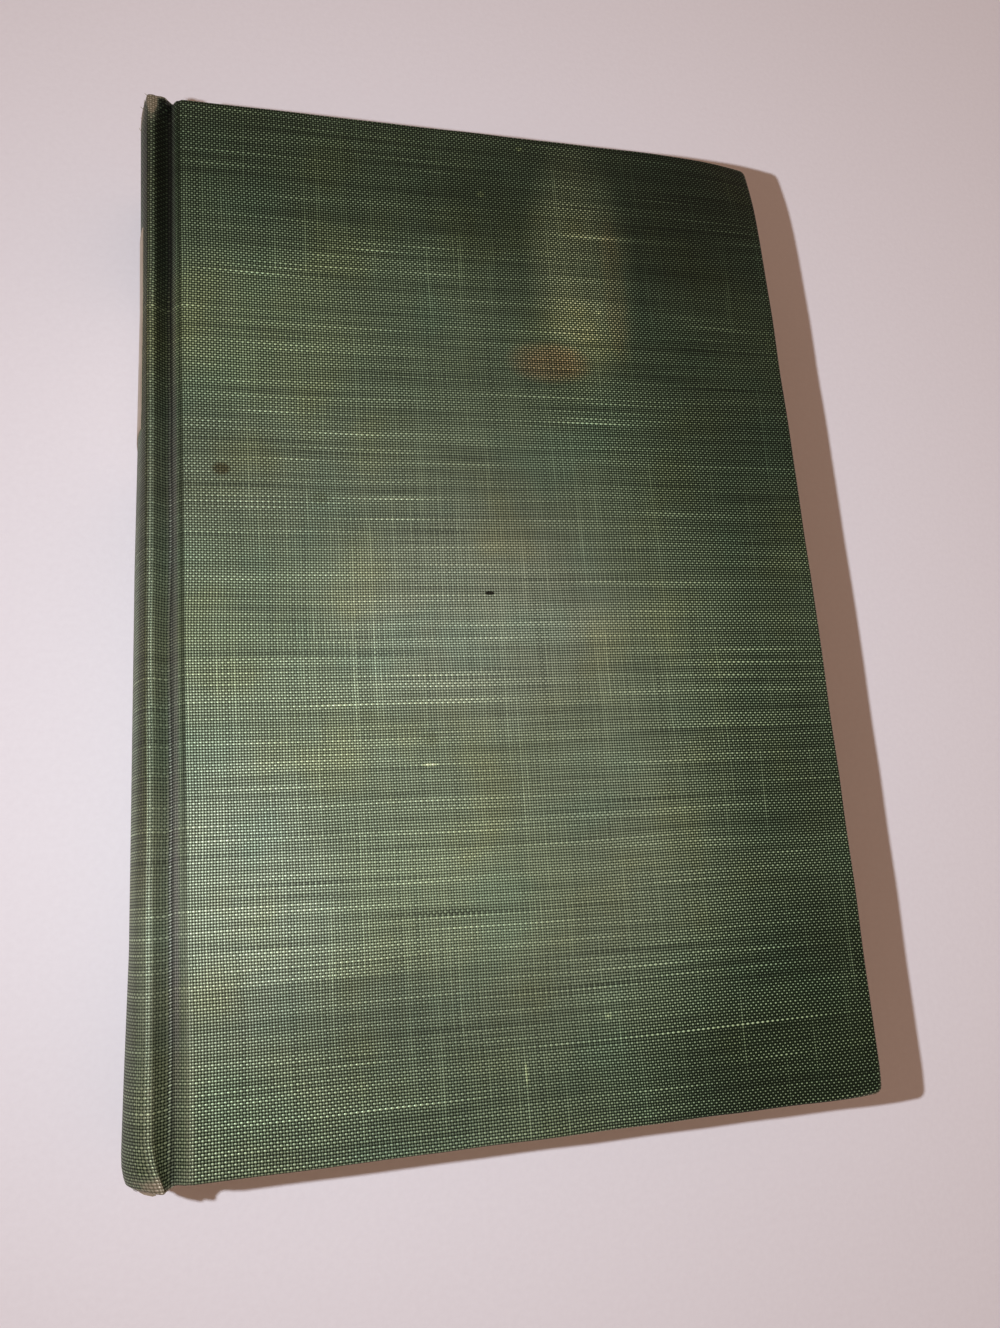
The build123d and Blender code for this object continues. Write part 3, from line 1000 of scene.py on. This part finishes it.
def leaf_edges():
    """Cut edges of the leaves: fine lines that follow the leaves, dusty at the head."""
    f = Finish("leaf_edges", IOR=1.4)
    x, y, level = f.flat()
    fine = f.cloud(f.vector(x * 0.03, y * 0.03, level * 7.0), 3.0, 0.75)
    coarse = f.cloud(f.vector(x * 0.015, y * 0.015, level * 1.6), 3.0, 0.6)
    base = f.mixed(coarse.ramp(0.35, 0.7), (0.62, 0.50, 0.33), (0.76, 0.66, 0.49))
    base = f.mixed(fine.ramp(0.56, 0.72) * 0.65, base, (0.33, 0.24, 0.14))
    base = f.mixed(y.ramp(90.5, 92.2) * 0.45, base, (0.34, 0.29, 0.22))
    freckle = f.cloud(f.vector(x * 0.3, y * 0.3, level * 0.8), 3.0, 0.7).ramp(0.7, 0.8)
    base = f.mixed(freckle * 0.6, base, (0.34, 0.19, 0.08))
    return f.finished(base, 0.85, bump=(fine, 0.00012, 0.8))


def label_finish():
    """Browned paper, darker at its worn rim."""
    f = Finish("browned_label", IOR=1.4)
    x, y, rim = f.flat()
    stain = f.cloud(f.vector(x * 0.12, y * 0.12), 4.0, 0.6)
    fibre = f.cloud(f.vector(x * 3.0, y * 3.0), 4.0, 0.7)
    base = f.mixed(stain.ramp(0.3, 0.7), (0.50, 0.45, 0.36), (0.62, 0.57, 0.47))
    base = f.mixed((rim * 1.2 + fibre * 0.5 - 0.75).above(0.0), base, (0.36, 0.28, 0.19))
    return f.finished(base, 0.75, bump=(fibre, 0.00008, 0.6))


def band_finish():
    """Cream and green threads, three turns of each, with painted shade between turns."""
    f = Finish("band_threads", IOR=1.4)
    turn = f.flat()[0]
    stripe = (turn * (pi / 3)).cosine() > 0.0
    base = f.mixed(stripe, (0.50, 0.43, 0.30), (0.11, 0.15, 0.09))
    # Painted shade in the hollow between turns.
    shade_between_turns = (turn * (2 * pi)).cosine().ramp(0.2, -1.0)
    base = f.tinted(base, (0.4, 0.36, 0.3), shade_between_turns)
    return f.finished(base, 0.7)


def fray_finish():
    """Loose threads, each of its own tone between dyed and bare."""
    f = Finish("loose_threads", IOR=1.4)
    along, number, tone = f.flat()
    base = f.mixed(tone, (0.13, 0.125, 0.07), (0.44, 0.40, 0.27))
    streak = f.cloud(f.vector(along * 6.0, number * 3.0), 2.0)
    base = f.tinted(base, f.grey(streak * 0.7 + 0.65))
    return f.finished(base, 0.75)


def hidden_finish(name, colour, dark, scale):
    """Card, paper and thread inside the binding."""
    f = Finish(name, IOR=1.4)
    grain = f.cloud(f.solid(), 5.0, 0.65, scale)
    return f.finished(f.mixed(grain, dark, colour), 0.85, bump=(grain, 0.0001, 0.6))


def gauze_finish():
    """Open cotton mesh set in old glue."""
    f = Finish("glued_gauze", IOR=1.45)
    x, y, z = f.parts(f.solid())
    threads = 2 * pi * 900
    lines = ((x + z) * threads).cosine().above((y * threads).cosine())
    base = f.mixed(lines.ramp(0.3, 0.8), (0.38, 0.28, 0.15), (0.66, 0.60, 0.47))
    return f.finished(base, 0.7, bump=(lines, 0.00012, 0.8))


def floor_finish():
    f = Finish("pale_table", IOR=1.45)
    grain = f.cloud(f.solid(), 3.0, 0.6, 900.0)
    base = f.mixed(grain, (0.74, 0.70, 0.70), (0.80, 0.765, 0.765))
    return f.finished(base, 0.62, bump=(grain, 0.0001, 0.25))


# Marks on a cover: place, reach, strength, tint, and the share of the reach that is at full strength.
front_marks_and_sheen = [
    # The first mark, pale blue-grey over the lower left near the spine, is painted sheen where the
    # lamp's glare falls.
    ((7, -53), (22, 30), 0.9, (1.34, 1.3, 1.42), 0.05),
    ((52, -6), (32, 26), 0.9, (1.36, 1.28, 1.38), 0.05),
    ((8, -3), (18, 20), 0.9, (0.84, 0.87, 0.84), 0.05),
    ((12, 48), (28, 20), 0.9, (1.32, 1.26, 1.15), 0.05),
    ((7, -86), (24, 14), 0.9, (1.27, 1.18, 1.14), 0.05),
    ((48, -56), (26, 20), 0.9, (1.14, 1.14, 1.08), 0.05),
    ((107, 51), (18, 20), 0.9, (1.22, 1.2, 1.15), 0.05),
    ((109, -85), (20, 16), 0.9, (1.55, 1.55, 1.5), 0.05),
    ((69.5, 44.8), (10, 5.2), 0.85, (1.62, 1.0, 0.9), 0.2),
    ((78.5, 68), (13, 31), 0.9, (2.65, 2.25, 2.2), 0.0),
    ((85, 62), (3.2, 21), 0.4, (1.3, 0.92, 0.78), 0.0),
    ((73, 50), (14, 12), 0.4, (1.25, 1.15, 0.95), 0.1),
    ((57, 78), (17, 11), 0.55, (0.55, 0.55, 0.5), 0.2),
    ((100, 76), (20, 17), 0.4, (0.6, 0.6, 0.56), 0.2),
    ((6.9, 20.8), (1.9, 1.4), 0.95, (0.45, 0.36, 0.28), 0.5),
    ((23.9, 15.8), (2.2, 1.6), 0.5, (0.6, 0.55, 0.45), 0.2),
    ((41.4, -28.1), (2.0, 1.6), 0.5, (0.6, 0.58, 0.5), 0.2),
    ((54.0, -1.9), (1.15, 0.45), 1.0, (0.08, 0.07, 0.06), 0.55),
    ((41.1, -32.8), (1.6, 0.35), 0.9, (2.3, 2.2, 2.0), 0.5),
    ((81.0, 56.4), (0.7, 0.5), 0.9, (2.0, 1.9, 1.7), 0.4),
    ((69.4, -77.0), (0.7, 0.6), 0.9, (2.2, 2.1, 1.9), 0.4),
    ((54.2, -84.7), (0.35, 2.0), 0.9, (2.2, 2.1, 1.9), 0.5),
    ((67.4, 92.4), (0.8, 0.6), 0.9, (2.6, 2.4, 2.0), 0.4),
    ((58.3, 80.9), (1.1, 0.8), 0.8, (2.2, 2.0, 1.7), 0.4),
]
back_marks = [
    ((60, 10), (40, 60), 0.4, (1.15, 1.08, 0.9), 0.1),
    ((30, -60), (9, 6), 0.5, (0.6, 0.55, 0.45), 0.3),
    ((95, 52), (7, 12), 0.5, (0.65, 0.6, 0.5), 0.3),
]
front_cloth = book_cloth("green_cloth_front", front_marks_and_sheen, 0.0)
back_cloth = book_cloth("green_cloth_back", back_marks, 31.0)
spine_cloth = book_cloth("green_cloth_spine", [], 0.0, fade=0.18)
endpaper = paper("endpaper", (0.72, 0.62, 0.45), (0.52, 0.40, 0.25), 0.7)
page_edges = leaf_edges()
board = hidden_finish("millboard", (0.42, 0.34, 0.24), (0.22, 0.17, 0.11), 900)
card = hidden_finish("spine_card", (0.46, 0.38, 0.27), (0.30, 0.24, 0.16), 900)
lining = hidden_finish("brown_lining", (0.40, 0.31, 0.19), (0.24, 0.18, 0.10), 1200)
thread = hidden_finish("linen_thread", (0.66, 0.60, 0.48), (0.40, 0.35, 0.26), 3000)
gauze = gauze_finish()


# ---- Pieces ----
def dress(obj, finish):
    obj.data.materials.clear()
    obj.data.materials.append(finish)


def place_piece(obj, finish, body, slot, nodes):
    dress(obj, finish)
    if body:
        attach(obj, body)
    if nodes:
        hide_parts(*nodes)


def mm_point(x, z):
    return tuple((Vector((x, 0, z)) + frame_shift) / 1000)


cloth_width = (cover_front - joint_length() + board_thick + turn_in) / 1000
covers = (
    ("front", 1, front_shape, front_board_shape, front_cloth),
    ("back", -1, back_shape, back_shape, back_cloth),
)
for side, way, shape, board_shape, finish in covers:
    piece = cover_cloth_drawing().made(side + "_book_cloth", shape, way, cloth_thick)
    place_piece(piece, finish, None, "cover_cloth", (side + "_cover_cloth",))
    start, end = mm_point(-5.85, way * 14), mm_point(-2.4, way * 14)
    side + "_cover"
    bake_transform(piece)
    side + "_board"

    piece = pastedown_drawing(way).made(side + "_pasted_endpaper", shape, way, 0.12)
    place_piece(piece, endpaper, None, "endpaper", (side + "_pastedown",))
    start, end = mm_point(-3.8, way * 12), mm_point(-1.6, way * 12)
    side + "_cover"
    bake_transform(piece)

    piece = leaned_copy(side + "_board", side + "_millboard", board_shape, way, 8)
    place_piece(piece, board, side + "_cover", "board", (side + "_board",))

    piece = flyleaf_drawing(way).made(side + "_free_endpaper", as_drawn, way, 0.1)
    place_piece(piece, endpaper, "text_block", "endpaper", (side + "_flyleaf",))

piece = spine_cloth_drawing().made("spine_book_cloth", as_drawn, 1, cloth_thick)
place_piece(piece, spine_cloth, "text_block", "spine_cloth", ("spine_cloth",))

piece = pages_drawing().made("leaves", as_drawn, 1, 0.0, 30)
place_piece(piece, page_edges, "text_block", "page_paper", ("pages",))
piece = label_drawing().made("paper_label", as_drawn, 1, 0.14)
place_piece(piece, label_finish(), "text_block", "label_paper", ("spine_label",))

band_threads, loose = band_finish(), fray_finish()
for end, where in ((1, "head"), (-1, "tail")):
    piece = band_drawing(end).made(where + "_wound_band", as_drawn, 1, 0.0, 60)
    place_piece(piece, band_threads, "text_block", "band_thread", (where + "_band",))
    piece = fray_drawing(end).made(where + "_frayed_threads", as_drawn, 1, 0.0, 60)
    place_piece(piece, loose, "text_block", "spine_cloth", ())

hidden = {
    "sewing_thread": (thread, "sewing_thread", 0),
    "spine_gauze": (gauze, "gauze", 10),
    "spine_lining_paper": (lining, "lining_paper", 10),
    "spine_inlay": (card, "inlay_card", 10),
}
for node, (finish, slot, step) in hidden.items():
    piece = leaned_copy(node, node + "_leaned", as_drawn, 1, step)
    place_piece(piece, finish, "text_block", slot, (node,))
    node == "spine_gauze"
for node in ("front_gauze_flap", "back_gauze_flap"):
    dress(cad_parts[node], gauze)

# ---- Table, light and camera ----
bpy.ops.mesh.primitive_plane_add(size=12.0, location=(0, 0, -0.0001))
table = bpy.context.object
table.name = "table_top"
table.data.materials.append(floor_finish())

world = bpy.data.worlds.new("room")
bpy.context.scene.world = world
world.use_nodes = True
room = world.node_tree.nodes["Background"]
room.inputs["Color"].default_value = (1.0, 0.65, 0.49, 1)
room.inputs["Strength"].default_value = 0.325

light = bpy.data.lights.new("key_light", "AREA")
light.shape, light.size, light.energy, light.color = "DISK", 0.0045, 0.385, (0.84, 0.885, 1.0)
# Even over the whole table, as a lamp with a long reach is.
light.use_nodes = True
even = light.node_tree.nodes.new("ShaderNodeLightFalloff")
even.inputs["Strength"].default_value = 25.0
emission = light.node_tree.nodes["Emission"]
light.node_tree.links.new(even.outputs["Constant"], emission.inputs["Strength"])
lamp = bpy.data.objects.new("key_light", light)
lamp.location = (-0.0992, -0.04545, 0.1974)
aim = Vector((0.0, 0.0, 0.02)) - lamp.location
lamp.rotation_euler = aim.to_track_quat("-Z", "Y").to_euler()
bpy.context.scene.collection.objects.link(lamp)

camera_data = bpy.data.cameras.new("camera")
camera_data.lens, camera_data.sensor_width, camera_data.sensor_fit = 28.59, 36.0, "AUTO"
camera_data.clip_start = 0.005
camera = bpy.data.objects.new("camera", camera_data)
right, up = (0.96583, -0.07112, 0.24924), (0.0150, 0.97534, 0.22019)
back = (-0.25875, -0.20893, 0.94308)
turned = Matrix((right, up, back)).transposed().to_4x4()
camera.matrix_world = Matrix.Translation((-0.049598, -0.054443, 0.20941)) @ turned
bpy.context.scene.collection.objects.link(camera)
bpy.context.scene.camera = camera
bpy.context.scene.view_settings.view_transform = "Standard"
